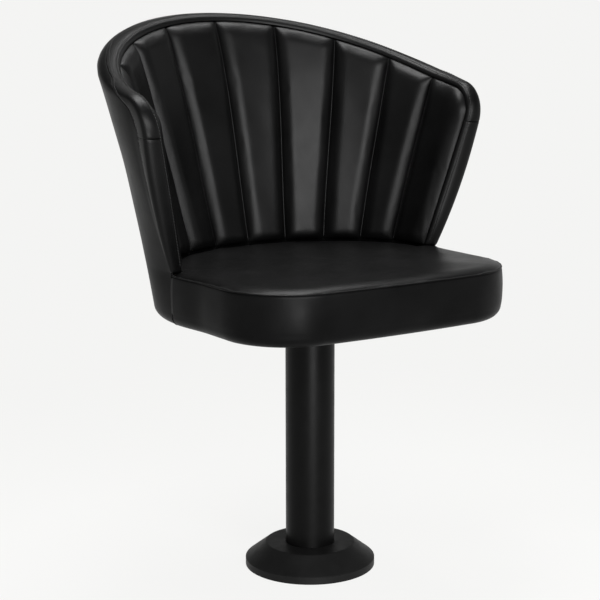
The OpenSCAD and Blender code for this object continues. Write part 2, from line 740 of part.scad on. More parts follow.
module shell_screws() {
    z = (ply_foot_z + board_top_z) / 2;
    for (s = screw_shares) {
        outside = shell_point(s, z, ply_out(abs(s), z) - screw_sink);
        inside = shell_point(s, z, ply_out(abs(s), z) - screw_sink - screw_bite);
        along = outside - inside;
        color("silver") translate(inside) rotate([0, right_angle, atan2(along[1], along[0])]) {
            cylinder(h = screw_bite - screw_head_h, r = screw_r, $fn = 32);
            translate([0, 0, screw_bite - screw_head_h])
                cylinder(h = screw_head_h, r = screw_head_r, $fn = 32);
        }
    }
}

floor_flange();
column_tube();
base_cover();
cover_grip_ring();
upper_bush();
lower_bush();
thrust_washer();
swivel_spindle();
spindle_washer();
spindle_circlip();
hub_collar();
seat_plate();
plate_washers();
plate_bolts();
tee_nuts();
seat_board();
dust_cover();
seat_foam();
seat_top_panel();
seat_boxing();
shell_frame();
shell_screws();
back_foam();
back_flutes();
outside_back();
rim_band();
arm_front_left();
arm_front_right();
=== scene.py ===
"""Looks of a pedestal swivel armchair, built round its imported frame: leather, stitching, metal, studio."""

import math

import bpy
import numpy as np
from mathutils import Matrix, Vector, noise


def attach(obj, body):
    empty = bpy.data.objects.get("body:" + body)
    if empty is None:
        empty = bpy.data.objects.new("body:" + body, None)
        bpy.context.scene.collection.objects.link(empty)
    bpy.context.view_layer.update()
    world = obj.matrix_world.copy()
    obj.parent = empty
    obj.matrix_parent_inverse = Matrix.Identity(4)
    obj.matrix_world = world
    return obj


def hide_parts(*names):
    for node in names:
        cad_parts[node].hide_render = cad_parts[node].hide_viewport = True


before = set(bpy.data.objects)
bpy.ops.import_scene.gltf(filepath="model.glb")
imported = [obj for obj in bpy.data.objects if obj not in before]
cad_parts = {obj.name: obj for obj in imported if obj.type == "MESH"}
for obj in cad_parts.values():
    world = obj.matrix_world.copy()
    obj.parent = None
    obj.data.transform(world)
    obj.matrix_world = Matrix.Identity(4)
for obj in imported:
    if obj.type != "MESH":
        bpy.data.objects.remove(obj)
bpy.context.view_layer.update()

# Lengths in millimetres; the solids' own sizes are as in the part's source
# Seat block: plan, heights of its underside edge and seam, turn-under, crown of the top and swell of the band
SEAT_W, SEAT_FRONT, CORNER_R, FRONT_BOW = 472.0, 239.0, 108.0, 4.0
LOW_Z, SEAM_Z, UNDER_R, LAP_W, LAP_RISE = 407.0, 482.0, 18.0, 8.0, 1.2
CROWN_H, SWELL, CUSHION_BACK = 10.0, 2.4, -1.0
MIDDLE = np.array([0.0, -SEAT_FRONT / 8])
# Width and height of the seat's shoulder, at the back and sides and at the front
SOFT_W, SOFT_H = 20.0, 7.0
FRONT_W, FRONT_H, FRONT_CROWN = 26.0, 9.6, 3.6
# How far the seat's sides widen to the shell's, and over what run
FLUSH, FLUSH_RUN = 5.9, 80.0
# Leather's thickness, gaps between pieces that lie on or end at each other, and the foot of the foam
LEATHER, LAY, END_GAP, FOAM_FOOT_Z = 2.5, 0.3, 0.6, 426.4
# Shell: lower level, height, plan, and how its back and arms lean with height
SHELL_Z, RISE, HALF_W, FLARE = 485.0, 355.0, 220.5, 86.0
BACK_Y, LEAN, HOLLOW, CURL = 175.0, 102.4, 57.6, 55.9
ARC_Y, ARC_LEAN, ARM_Y, ARM_LEAN, ARM_OUT = 6.0, 13.0, 5.0, 64.0, 2.0
WALL_MID, WALL_FLARE, ARM_WALL, ARM_GAIN, ARM_EASE = 30.0, 28.0, 20.0, 58.0, 73.0
# Rim and flutes
RIM_DROP, RIM_R, ARM_RUN, RIM_CROWN, FLUTE_CROWN = 118.0, 44.0, 100.0, 12.5, 11.5
HEAD_H, FOOT_H, FLUTE_FOOT_Z, FLUTE_SIDE = 20.0, 18.0, 487.6, 21.0
# Border: its lap beyond the wall's outer edge down the arm and over the rim, and its two seams
WRAP, CORNER_WRAP, WRAP_FOOT, WRAP_BELOW = 12.0, 6.0, 1.2, 0.4
WRAP_TOP, MIDWAY, EDGE_TURN = -18.0, -22.0, 33.0
STRIP, SEAM_GAP, SINK, SINK_W = 4.6, 0.25, 1.0, 38.0

# Shares, powers and angles of the same forms
LAST_FROM, LAST_SHARE = 0.8, 0.2
PLAN_TURN, PLAN_GAIN, RIM_TURN = 86.0, 11.4, 75.0
MID_SHARE, TAPER, SPLAY, SPLAY_END = 0.42, 0.17, 0.3, 0.6
CROWN_WALL, ROLL_POWER, WRAP_EASE = 0.33, 0.82, 0.7
FLUTES, FLUTE_GAP, LAYER_END, BACKING, VALLEY = 5, 0.001, 0.998, 0.3, 0.11

# Slow unevenness of the stretched leather: size across and height, in millimetres
FLUTE_WAVE, SEAT_WAVE, BAND_WAVE, SKIN_WAVE = (38, 0.5), (62, 0.9), (44, 0.9), (85, 0.9)
ROLL_WAVE, CLOTH_WAVE = (46, 0.5), (55, 0.25)

# Where the waves calm down: above the underside, from where they grow over a run, and below the seat's seam
CALM_FOOT, CALM_RUN, CALM_SEAM = 6, 14, 9

# Stitches: spacing, length, height above the leather, and how deep their ends sink, in radii
STITCH_STEP, STITCH_L, STITCH_LIFT, STITCH_SINK = 4.6, 3.3, 0.25, 1.6

# A step along a path that gives its direction, a direction that no tube runs along, the places of
# the waves' seeds, and the least lengths to divide by
LOOK_AHEAD, ODD_AXIS, SEED_STEP = 0.5, (0.31, 0.87, 0.12), 17.3
TINY, SMALL = 1e-9, 1e-6


def smooth(k):
    k = np.clip(k, 0, 1)
    return k * k * (3 - 2 * k)


def mix(a, b, k):
    return a + (b - a) * k


def level(z):
    """Level of a height, from 0 at the shell's lower level to 1 at the top of the back."""
    return np.maximum(0, (z - SHELL_Z) / RISE)


def centre_y(t):
    return ARC_Y - ARC_LEAN * t


def depth(t):
    return BACK_Y + LEAN * t - HOLLOW * t**2 + CURL * t**3 - centre_y(t)


def last_turn(t):
    return 90 + np.degrees((centre_y(t) - ARM_Y + ARM_LEAN * t) / depth(t))


def turn(f, t):
    equal = np.minimum(f, LAST_FROM) * (PLAN_TURN + PLAN_GAIN * t)
    return mix(equal, last_turn(t), np.maximum(0, f - LAST_FROM) / LAST_SHARE)


def at_arm(f):
    return smooth((f - LAST_FROM) / LAST_SHARE)


def wall(f, z):
    """Thickness of the shell from the flutes' seams to the outside."""
    t = level(z)
    back = WALL_MID + WALL_FLARE * (t - MID_SHARE) ** 2 - TAPER * np.maximum(0, SHELL_Z - z)
    return mix(back, ARM_WALL + ARM_GAIN * t - ARM_EASE * t**2, at_arm(f))


def shell_point(s, z, d):
    """Points d outside the flutes' seams at place s, from -1 at one arm to 1 at the other, and height z."""
    s, z, d = np.broadcast_arrays(np.asarray(s, float), np.asarray(z, float), np.asarray(d, float))
    f, side, t = np.abs(s), np.where(s < 0, -1.0, 1.0), level(z)
    a, b, w = HALF_W + FLARE * t, depth(t), turn(f, t)
    bend = np.minimum(w, 90)
    run = np.radians(w - bend)
    out = ARM_OUT * np.where(w > 90, (w - 90) / (last_turn(t) - 90), 0)
    sin, cos = np.sin(np.radians(bend)), np.cos(np.radians(bend))
    nx, ny = sin / a, cos / b
    n = np.hypot(nx, ny)
    splay = SPLAY * np.maximum(0, 1 - t / SPLAY_END)
    x = side * (a * sin + out + d * nx / n)
    y = centre_y(t) + b * cos - b * run + d * (ny / n - splay * at_arm(f))
    return np.stack([x, y, z], -1)


def rim_z(f, inset=0.0):
    """Height of the rim's seam, or of a line inset below it and behind the arm's front."""
    f, r = np.asarray(f, float), RIM_R - inset
    reach = np.clip((1 - f) / LAST_SHARE * ARM_RUN - inset, 0, r)
    top = SHELL_Z + RISE - RIM_DROP * np.sin(np.radians(RIM_TURN * f)) ** 2
    return top - RIM_R + np.sqrt(r**2 - (r - reach) ** 2)


def wrap_width(z):
    """Width that the border laps round the outside at a height on the arm's front."""
    k = (z - FLUTE_FOOT_Z) / (float(rim_z(1)) - FLUTE_FOOT_Z)
    width = mix(WRAP_FOOT, WRAP, smooth(k) ** WRAP_EASE) + CORNER_WRAP * smooth(k * 2 - 1)
    return np.where(k < 0, WRAP_BELOW, width)


def seat_side_y(x):
    """How far back the seat's sides reach at distance x from the middle, before the arms' fronts."""
    return ARM_Y - 2 * LAY - SPLAY * np.maximum(0, x - HALF_W - ARM_OUT)


def rolled(x, power, root):
    """A rounded fall from 1 at x = 0 to 0 at x = 1."""
    return (1 - np.clip(x, 0, 1) ** power) ** root


def waves(points, size, height, seed):
    """Slow unevenness of stretched leather at each point, in millimetres."""
    flat = points.reshape(-1, 3) / size + seed * SEED_STEP
    values = [noise.noise(Vector(p)) for p in flat]
    return height * np.array(values).reshape(points.shape[:-1])


def normals_of(grid):
    """Unit normals of a grid of points, by central differences."""
    n = np.cross(np.gradient(grid, axis=1), np.gradient(grid, axis=0))
    return n / np.maximum(np.linalg.norm(n, axis=-1, keepdims=True), TINY)


# Building meshes
def piece(name, points, faces, material, body="seat_unit", replaces=(), slot="leather", fill=None):
    """A piece that rides on a body, from points in millimetres."""
    mesh = bpy.data.meshes.new(name)
    mesh.from_pydata((np.asarray(points).reshape(-1, 3) / 1000).tolist(), [], [list(f) for f in faces])
    mesh.polygons.foreach_set("use_smooth", [True] * len(mesh.polygons))
    mesh.materials.append(material)
    mesh.update()
    obj = bpy.data.objects.new(name, mesh)
    bpy.context.scene.collection.objects.link(obj)
    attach(obj, body)
    if replaces:
        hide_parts(*replaces)
    return obj


def grid_faces(rows, cols, first=0, flip=False, around=False):
    """Quads between the points of a grid, closed round each row if around."""
    faces = []
    for r in range(rows - 1):
        for c in range(cols if around else cols - 1):
            a, b = first + r * cols + c, first + r * cols + (c + 1) % cols
            quad = (a, b, b + cols, a + cols)
            faces.append(quad[::-1] if flip else quad)
    return faces


def closed_slab(outer, inner):
    """Points and faces of a closed skin between two grids, whose rows run upward."""
    rows, cols = outer.shape[:2]
    n = rows * cols
    faces = grid_faces(rows, cols) + grid_faces(rows, cols, n, True)
    rim = list(range(cols))
    rim += [r * cols + cols - 1 for r in range(1, rows)]
    rim += [(rows - 1) * cols + c for c in range(cols - 2, -1, -1)]
    rim += [r * cols for r in range(rows - 2, 0, -1)]
    for a, b in zip(rim, rim[1:] + rim[:1]):
        faces.append((b, a, a + n, b + n))
    return np.concatenate([outer.reshape(-1, 3), inner.reshape(-1, 3)]), faces


def closed_rings(rings, flip=False):
    """Points and faces of a closed solid over equal rings, with a fan at each end."""
    k, n = rings.shape[:2]
    points = np.concatenate([rings.reshape(-1, 3), [rings[0].mean(0), rings[-1].mean(0)]])
    faces = grid_faces(k, n, around=True)
    faces += [((i + 1) % n, i, k * n) for i in range(n)]
    faces += [((k - 1) * n + i, (k - 1) * n + (i + 1) % n, k * n + 1) for i in range(n)]
    return points, [f[::-1] for f in faces] if flip else faces


def tube(path, radius, sides=8):
    """Points and faces of a closed tube along a path."""
    path = np.asarray(path, float)
    along = np.gradient(path, axis=0)
    along /= np.linalg.norm(along, axis=1, keepdims=True)
    up = np.cross(along, ODD_AXIS)
    up /= np.linalg.norm(up, axis=1, keepdims=True)
    side = np.cross(along, up)
    w = np.arange(sides) * 2 * math.pi / sides
    radius = np.broadcast_to(np.asarray(radius, float), len(path))
    ring = up[:, None] * np.cos(w)[None, :, None] + side[:, None] * np.sin(w)[None, :, None]
    return closed_rings(path[:, None] + ring * radius[:, None, None])


def joined(parts):
    """Points and faces of several parts as one mesh."""
    points, faces, first = [], [], 0
    for p, f in parts:
        points.append(p)
        faces += [tuple(i + first for i in face) for face in f]
        first += len(p)
    return np.concatenate(points), faces


def even_path(path, step):
    """Points at an even step along a path, with their directions."""
    path = np.asarray(path, float)
    run = np.concatenate([[0], np.cumsum(np.linalg.norm(np.diff(path, axis=0), axis=1))])
    at = np.arange(step / 2, run[-1], step)
    points = np.stack([np.interp(at, run, path[:, i]) for i in range(3)], -1)
    ahead = np.stack([np.interp(at + LOOK_AHEAD, run, path[:, i]) for i in range(3)], -1)
    along = ahead - points
    return points, along / np.maximum(np.linalg.norm(along, axis=1, keepdims=True), TINY)


def stitches(path, away, radius=0.5):
    """A row of separate stitches along a path on the surface whose outward direction is away."""
    points, along = even_path(path, STITCH_STEP)
    run = np.linspace(0, 1, len(path))
    at = np.linspace(0, 1, len(points))
    away = np.stack([np.interp(at, run, np.asarray(away)[:, i]) for i in range(3)], -1)
    k = np.linspace(-0.5, 0.5, 5)
    height = STITCH_LIFT - STITCH_SINK * radius * (2 * k) ** 4
    radii = [radius * 0.5, radius, radius, radius, radius * 0.5]
    parts = []
    for p, a, n in zip(points, along, away):
        parts.append(tube(p + a * (k * STITCH_L)[:, None] + n * height[:, None], radii, 6))
    return joined(parts)


# Materials
MAP_RANGE = ("From Min", "From Max", "To Min", "To Max")


class Nodes:
    """A small helper that adds nodes to a new material and links them."""

    def __init__(self, name):
        self.material = bpy.data.materials.new(name)
        self.material.use_nodes = True
        self.tree = self.material.node_tree
        self.shader = self.tree.nodes["Principled BSDF"]
        self.place = self.add("ShaderNodeTexCoord").outputs["Object"]

    def add(self, kind, links=(), **values):
        node = self.tree.nodes.new(kind)
        for key, value in values.items():
            if key in node.inputs:
                node.inputs[key].default_value = value
            else:
                setattr(node, key, value)
        for name, source in dict(links).items():
            self.tree.links.new(source, node.inputs[name])
        return node

    def noise(self, scale, detail=2.0, rough=0.5, place=None):
        sockets = {"Scale": scale, "Detail": detail, "Roughness": rough}
        return self.add("ShaderNodeTexNoise", {"Vector": place or self.place}, **sockets).outputs["Fac"]

    def cells(self, scale):
        values = {"feature": "DISTANCE_TO_EDGE", "Scale": scale}
        return self.add("ShaderNodeTexVoronoi", {"Vector": self.place}, **values).outputs["Distance"]

    def span(self, value, low, high, to_low=0.0, to_high=1.0):
        sockets = dict(zip(MAP_RANGE, (low, high, to_low, to_high)))
        return self.add("ShaderNodeMapRange", {"Value": value}, **sockets).outputs["Result"]

    def ramp(self, value, dark, light, low=0.3, high=0.7):
        node = self.add("ShaderNodeValToRGB", {"Fac": value})
        for element, place, colour in zip(node.color_ramp.elements, (low, high), (dark, light)):
            element.position = place
            element.color = (*colour, 1)
        return node.outputs["Color"]

    def bump(self, height, distance, strength=1.0, under=None):
        node = self.add("ShaderNodeBump", {"Height": height}, Distance=distance, Strength=strength)
        if under is not None:
            self.tree.links.new(under, node.inputs["Normal"])
        return node.outputs["Normal"]

    def finish(self, colour=None, roughness=None, normal=None, **constants):
        for socket, value in (("Base Color", colour), ("Roughness", roughness), ("Normal", normal)):
            if isinstance(value, bpy.types.NodeSocket):
                self.tree.links.new(value, self.shader.inputs[socket])
            elif value is not None:
                self.shader.inputs[socket].default_value = value
        for key, value in constants.items():
            self.shader.inputs[key.replace("_", " ")].default_value = value
        return self.material


def leather(name, dark=0.0009, light=0.0022, rough=(0.36, 0.415), grain=0.00005, shine=0.1):
    """Dyed leather with slow creases, pores and a fine grain."""
    m = Nodes(name)
    tone = m.noise(11, 3)
    creases = m.bump(m.noise(34, 4, 0.6), 0.0008, 0.2)
    pores = m.bump(m.span(m.cells(620), 0.0, 0.22), grain, 0.5, creases)
    fine = m.bump(m.noise(1900, 2), 0.00003, 0.35, pores)
    roughness = m.span(m.noise(46, 4, 0.62), 0.3, 0.7, *rough)
    colour = m.ramp(tone, (dark, dark, dark * 1.02), (light, light, light * 1.02))
    return m.finish(colour, roughness, fine, Specular_IOR_Level=shine)


def paint(name, tone, rough, shine=0.1):
    """Dark paint or powder coat with a faint orange peel."""
    m = Nodes(name)
    speckle = m.bump(m.noise(900, 3, 0.6), 0.00003, 0.5, m.bump(m.noise(160, 2), 0.0001, 0.2))
    colour = m.ramp(m.noise(24, 3), (tone * 0.8,) * 3, (tone * 1.2,) * 3)
    roughness = m.span(m.noise(60, 3), 0.3, 0.7, rough - 0.04, rough + 0.05)
    return m.finish(colour, roughness, speckle, Specular_IOR_Level=shine)


def metal(name, colour, rough, scale=300):
    m = Nodes(name)
    worn = m.span(m.noise(90, 4), 0.3, 0.7, rough - 0.06, rough + 0.08)
    tone = m.ramp(m.noise(40, 3), [c * 0.86 for c in colour], colour)
    return m.finish(tone, worn, m.bump(m.noise(scale, 3), 0.00008, 0.5), Metallic=1.0)


def plastic(name, colour, rough):
    m = Nodes(name)
    tone = m.ramp(m.noise(60, 2), [c * 0.92 for c in colour], colour)
    return m.finish(tone, rough, m.bump(m.noise(700, 2), 0.00006, 0.5))


def plywood(name):
    m = Nodes(name)
    stretched = m.add("ShaderNodeMapping", {"Vector": m.place})
    stretched.inputs["Scale"].default_value = (6, 60, 240)
    figure = m.noise(3, 6, 0.6, stretched.outputs["Vector"])
    colour = m.ramp(figure, (0.30, 0.18, 0.09), (0.56, 0.40, 0.23), 0.35, 0.65)
    return m.finish(colour, 0.62, m.bump(figure, 0.0002, 0.4))


def lining(name):
    m = Nodes(name)
    fibres = m.noise(1400, 4, 0.7)
    colour = m.ramp(fibres, (0.008,) * 3, (0.022,) * 3)
    return m.finish(colour, 0.9, m.bump(fibres, 0.0003, 0.8), Sheen_Weight=0.2)


def thread(name):
    m = Nodes(name)
    strands = m.noise(2600, 2)
    colour = m.ramp(strands, (0.008,) * 3, (0.02,) * 3)
    return m.finish(colour, 0.5, m.bump(strands, 0.0001, 0.6), Specular_IOR_Level=0.2)


HIDE = leather("black_leather")
OUTSIDE_HIDE = leather("black_leather_outside", 0.0012, 0.003, shine=0.05)
EDGE = leather("black_leather_edge", 0.0014, 0.0034, (0.4, 0.48), 0.00004, 0.06)
THREAD = thread("black_thread")
PAINTS = {
    "column_tube": paint("column_powder_coat", 0.0012, 0.38, 0.08),
    "base_cover": paint("cover_satin_paint", 0.005, 0.5),
    "hub_collar": paint("hub_powder_coat", 0.006, 0.45),
    "seat_plate": paint("plate_powder_coat", 0.006, 0.48),
    "floor_flange": paint("flange_powder_coat", 0.006, 0.5),
    "cover_grip_ring": plastic("grip_rubber", (0.012, 0.012, 0.012), 0.8),
    "upper_bush": plastic("bush_nylon", (0.72, 0.70, 0.62), 0.45),
    "lower_bush": plastic("lower_bush_nylon", (0.72, 0.70, 0.62), 0.45),
    "thrust_washer": metal("bearing_bronze", (0.62, 0.42, 0.20), 0.35),
    "swivel_spindle": metal("turned_steel", (0.55, 0.55, 0.56), 0.3, 1200),
    "spindle_circlip": metal("spring_steel", (0.22, 0.22, 0.23), 0.4),
    "spindle_washer": metal("zinc_washer", (0.66, 0.67, 0.66), 0.35),
    "plate_washers": metal("zinc_plate_washers", (0.66, 0.67, 0.66), 0.35),
    "plate_bolts": metal("zinc_bolts", (0.62, 0.63, 0.63), 0.35),
    "tee_nuts": metal("zinc_tee_nuts", (0.66, 0.67, 0.66), 0.38),
    "shell_screws": metal("zinc_screws", (0.66, 0.62, 0.48), 0.35),
    "seat_board": plywood("board_plywood"),
    "shell_frame": plywood("shell_plywood"),
}
for node, material in PAINTS.items():
    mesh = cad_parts[node].data
    mesh.materials.clear()
    mesh.materials.append(material)


# Flutes: pillows with rounded shoulders between deep seams. Points across and up, how much the rows
# crowd at the ends, power and root of each shoulder's roundness, and the crown's least share.
FLUTE_COLS, FLUTE_ROWS, ROW_EASE = 31, 88, 0.65
SIDE_ROUND, HEAD_ROUND, FOOT_ROUND, FLUTE_FLAT = (2, 0.58), (2.1, 0.5), (2, 0.5), 0.9


def flute_front(side, number):
    """Rows of a flute's front face from its foot to its head, with its places and heights."""
    last = number == FLUTES - 1
    low = number / FLUTES + FLUTE_GAP / 2
    high = LAYER_END if last else (number + 1) / FLUTES - FLUTE_GAP / 2
    share = (1 - np.cos(np.linspace(0, math.pi, FLUTE_COLS))) / 2
    if side < 0:
        share = share[::-1]
    k = np.linspace(0, 1, FLUTE_ROWS)
    rise = mix(k, (1 - np.cos(math.pi * k)) / 2, ROW_EASE)
    f = np.broadcast_to(mix(low, high, share), (FLUTE_ROWS, FLUTE_COLS))
    top = rim_z(f) - END_GAP
    z = mix(FLUTE_FOOT_Z, top, rise[:, None])
    valley = shell_point(side * f, z, 0)
    width = np.linalg.norm(valley[:, -1] - valley[:, 0], axis=1)[:, None]
    across = share * width
    crown = rolled(1 - np.minimum(across, width - across) / FLUTE_SIDE, *SIDE_ROUND)
    crown = crown * rolled(1 - (top - z) / HEAD_H, *HEAD_ROUND)
    crown = crown * rolled(1 - (z - FLUTE_FOOT_Z) / FOOT_H, *FOOT_ROUND)
    rounding = FLUTE_FLAT + (1 - FLUTE_FLAT) * (1 - (2 * share - 1) ** 2)
    deep = VALLEY * wall(f, z)
    return f, z, crown, shell_point(side * f, z, deep - (FLUTE_CROWN * rounding + deep) * crown)


def sheet_object(name, grid, around=False):
    """An open sheet over a grid, for the simulation alone."""
    mesh = bpy.data.meshes.new(name)
    faces = grid_faces(*grid.shape[:2], around=around)
    mesh.from_pydata((grid.reshape(-1, 3) / 1000).tolist(), [], faces)
    obj = bpy.data.objects.new(name, mesh)
    bpy.context.scene.collection.objects.link(obj)
    return obj


# Cloth: how much longer than its form each sheet is, how stiff in bending, and how far a point may move
FLUTE_SLACK, FLUTE_BENDING, FLUTE_CAP = 0.001, 6.0, 0.8
SEAT_SLACK, SEAT_BENDING, SEAT_CAP = 0.012, 0.6, 3.0
PRESSURE, FRAMES = 2.5, 18


def inflate(sheets, pinned):
    """Blow up pinned sheets from behind as cloth; returns how each point moved, in millimetres."""
    objs = []
    for name, grid, around, slack, bending in sheets:
        obj = sheet_object(name, grid, around)
        group = obj.vertex_groups.new(name="edge")
        group.add([int(i) for i in np.flatnonzero(pinned[name].reshape(-1))], 1.0, "REPLACE")
        cloth = obj.modifiers.new("cloth", "CLOTH").settings
        cloth.quality = 6
        cloth.mass = 0.25
        cloth.tension_stiffness = cloth.compression_stiffness = 18
        cloth.shear_stiffness = 8
        cloth.bending_stiffness = bending
        cloth.vertex_group_mass = "edge"
        cloth.shrink_min = -slack
        cloth.use_pressure = True
        cloth.uniform_pressure_force = PRESSURE
        cloth.effector_weights.gravity = 0
        objs.append(obj)
    scene = bpy.context.scene
    for number in range(1, FRAMES + 1):
        scene.frame_set(number)
    moves = {}
    graph = bpy.context.evaluated_depsgraph_get()
    for (name, grid, *_), obj in zip(sheets, objs):
        mesh = obj.evaluated_get(graph).to_mesh()
        co = np.zeros(len(mesh.vertices) * 3)
        mesh.vertices.foreach_get("co", co)
        moves[name] = co.reshape(grid.shape) * 1000 - grid
        bpy.data.objects.remove(obj)
    scene.frame_set(1)
    return moves


def capped(move, most):
    """Moves limited to a length, with a soft knee."""
    size = np.linalg.norm(move, axis=-1, keepdims=True)
    return move * np.where(size > 0, most * np.tanh(size / most) / np.maximum(size, TINY), 0)


def edge_mask(rows, cols):
    """True along all four edges of a grid."""
    mask = np.zeros((rows, cols), bool)
    mask[[0, -1]] = True
    mask[:, [0, -1]] = True
    return mask


flutes = {}
for side, word in ((-1, "left"), (1, "right")):
    for number in range(FLUTES):
        flutes[f"flute_{word}_{number + 1}"] = (side, number, *flute_front(side, number))


# Points on each stretch of the seat's outline, rings over its shoulder and top, and the last ring's share
BACK_POINTS, JOG_POINTS, SIDE_POINTS, CORNER_POINTS, FRONT_POINTS = 61, 6, 22, 33, 19
SHOULDER_RINGS, TOP_RINGS, LAST_RING = 15, 34, 0.03
# Where the shoulder turns from the sides' form to the front's, its roundness, and the crown's run
BLEND_Y, BLEND_RUN, SIDE_POWER, FRONT_POWER, SHOULDER_ROOT, CROWN_RUN = 40, 120, 2.4, 2.0, 0.54, 60


def half_outline(inset):
    """Right half of the seat's outline, from the back's middle to the front's, and where its side starts."""
    f = np.linspace(0, 1, BACK_POINTS)[:-1]
    back = shell_point(f, SHELL_Z, CUSHION_BACK - inset)[:, :2]
    x_in = HALF_W + ARM_OUT + CUSHION_BACK - inset
    side_x, r = SEAT_W / 2 - inset, CORNER_R - inset
    jog = [[x, seat_side_y(x)] for x in np.linspace(x_in, side_x + FLUSH, JOG_POINTS)]
    corner = np.array([side_x - r, -SEAT_FRONT + inset + r])
    start = seat_side_y(side_x + FLUSH)
    ys = np.linspace(start, corner[1], SIDE_POINTS)[1:-1]
    side = [[side_x + FLUSH * smooth(1 - (start - y) / FLUSH_RUN), y] for y in ys]
    w = np.radians(np.linspace(0, 90, CORNER_POINTS))
    arc = np.stack([corner[0] + r * np.cos(w), corner[1] - r * np.sin(w)], -1)
    x = corner[0] * (1 - np.linspace(0, 1, FRONT_POINTS)[1:])
    front = np.stack([x, -SEAT_FRONT + inset - FRONT_BOW * (1 - (x / corner[0]) ** 2)], -1)
    return np.concatenate([back, jog, side, arc, front]), len(back) + JOG_POINTS - 1


def both_halves(half):
    return np.concatenate([half, half[-2:0:-1] * [-1, 1]])


def seat_top():
    """Rings of the seat's top face, from its seam to near its middle."""
    edge = both_halves(half_outline(0)[0])
    reach = np.linalg.norm(edge - MIDDLE, axis=1)
    inset = FRONT_W * (1 - np.cos(np.linspace(0, math.pi / 2, SHOULDER_RINGS)))
    k = [1 - i / reach for i in inset]
    k += [k[-1] * (1 - q) + LAST_RING * q for q in np.linspace(0, 1, TOP_RINGS)[1:]]
    k = np.array(k)
    plan = MIDDLE + k[..., None] * (edge - MIDDLE)
    inside, front = (1 - k) * reach, smooth((BLEND_Y - plan[..., 1]) / BLEND_RUN)
    power = mix(SIDE_POWER, FRONT_POWER, front)
    shoulder = rolled(1 - inside / mix(SOFT_W, FRONT_W, front), power, SHOULDER_ROOT)
    shoulder = shoulder * mix(SOFT_H - LAY, FRONT_H, front)
    crown = mix(CROWN_H - SOFT_H, FRONT_CROWN, front)
    z = SEAM_Z + LAY + shoulder + crown * (1 - k**2) * smooth(inside / CROWN_RUN)
    return np.concatenate([plan, z[..., None]], -1)


top_rings = seat_top()

# Simulated leather
sheets = [(name, data[-1], False, FLUTE_SLACK, FLUTE_BENDING) for name, data in flutes.items()]
sheets.append(("seat_top", top_rings, True, SEAT_SLACK, SEAT_BENDING))
masks = {name: edge_mask(FLUTE_ROWS, FLUTE_COLS) for name in flutes}
masks["seat_top"] = np.zeros(top_rings.shape[:2], bool)
masks["seat_top"][0] = True
moves = inflate(sheets, masks)

for name, (side, number, f, z, crown, grid) in flutes.items():
    front = grid + capped(moves[name], FLUTE_CAP)
    ripple = waves(front, *FLUTE_WAVE, number + 3 * side) * np.minimum(1, 3 * crown)
    front += normals_of(front) * ripple[..., None]
    foot = shell_point(side * f[:1], FOAM_FOOT_Z, VALLEY * wall(f[:1], FOAM_FOOT_Z))
    outer = np.concatenate([foot, front])
    z_back = np.concatenate([np.full_like(z[:1], FOAM_FOOT_Z), z])
    f_back = np.concatenate([f[:1], f])
    inner = shell_point(side * f_back, z_back, BACKING * wall(f_back, z_back))
    points, faces = closed_slab(outer, inner)
    piece(name, points, faces, HIDE, replaces=("back_flutes", "back_foam"), fill=0.8)

# Ridge at the bottom of each seam between two flutes
RIDGE_R, RIDGE_LIFT, RIDGE_ENDS, RIDGE_POINTS = 1.1, 1.2, (1, 2), 60
parts = []
for i in range(1 - FLUTES, FLUTES):
    head = float(rim_z(abs(i) / FLUTES)) - RIDGE_ENDS[1]
    z = np.linspace(FLUTE_FOOT_Z + RIDGE_ENDS[0], head, RIDGE_POINTS)
    parts.append(tube(shell_point(i / FLUTES, z, VALLEY * wall(abs(i) / FLUTES, z) - RIDGE_LIFT), RIDGE_R))
piece("flute_seam_ridges", *joined(parts), HIDE)

# Seat cushion: the crowned top over the foam block
UNDER_SEAM, WAVE_EASE = 1.2, 6
top = top_rings + capped(moves["seat_top"], SEAT_CAP)
top[..., 2] += waves(top, *SEAT_WAVE, 5) * smooth((1 - np.linspace(1, 0, len(top))[:, None]) * WAVE_EASE)
foam_edge = both_halves(half_outline(LEATHER + LAY)[0])
lower = [np.column_stack([foam_edge, np.full(len(foam_edge), z)]) for z in (FOAM_FOOT_Z, SEAM_Z - UNDER_SEAM)]
points, faces = closed_rings(np.concatenate([lower, top]), True)
piece("seat_cushion", points, faces, HIDE, replaces=("seat_top_panel", "seat_foam"), fill=0.8)


# Leather band round the seat's front and sides, turning under the board: its rows, its swell's power
# and the inner face's share of it, and how far and over what run it tucks in at the seam
TURN_ROWS, BAND_ROWS = 10, 22
SWELL_POWER, INNER_SWELL, BAND_TUCK, TUCK_RUN = 0.7, 0.6, 0.9, 3.5


def under_rows(skin):
    """Insets and heights of the rows that turn under, for a face that lies skin inside the leather."""
    w, r = np.radians(np.linspace(90, 0, TURN_ROWS)), UNDER_R - skin
    lap = [[UNDER_R + LAP_W, LOW_Z + LAP_RISE + skin], [UNDER_R + LAP_W / 2, LOW_Z + LAP_RISE / 3 + skin]]
    turned = np.stack([UNDER_R - r * np.cos(w), LOW_Z + UNDER_R - r * np.sin(w)], -1)
    return np.concatenate([lap, turned])


def band_rows(skin):
    """Insets and heights of all the band's rows, from under the board up to the seam."""
    k = np.linspace(0, 1, BAND_ROWS)[1:]
    z = mix(LOW_Z + UNDER_R, SEAM_Z, k)
    swell = SWELL * np.sin(math.pi * k) ** SWELL_POWER * (1 if skin == 0 else INNER_SWELL)
    tuck = BAND_TUCK * smooth((z - SEAM_Z + TUCK_RUN) / TUCK_RUN)
    return np.concatenate([under_rows(skin), np.stack([skin - swell + tuck, z], -1)])


def band_line(inset):
    """The outline's front and sides, from the right arm round to the left."""
    half, start = half_outline(inset)
    half = half[start:]
    return np.concatenate([half, half[-2::-1] * [-1, 1]])


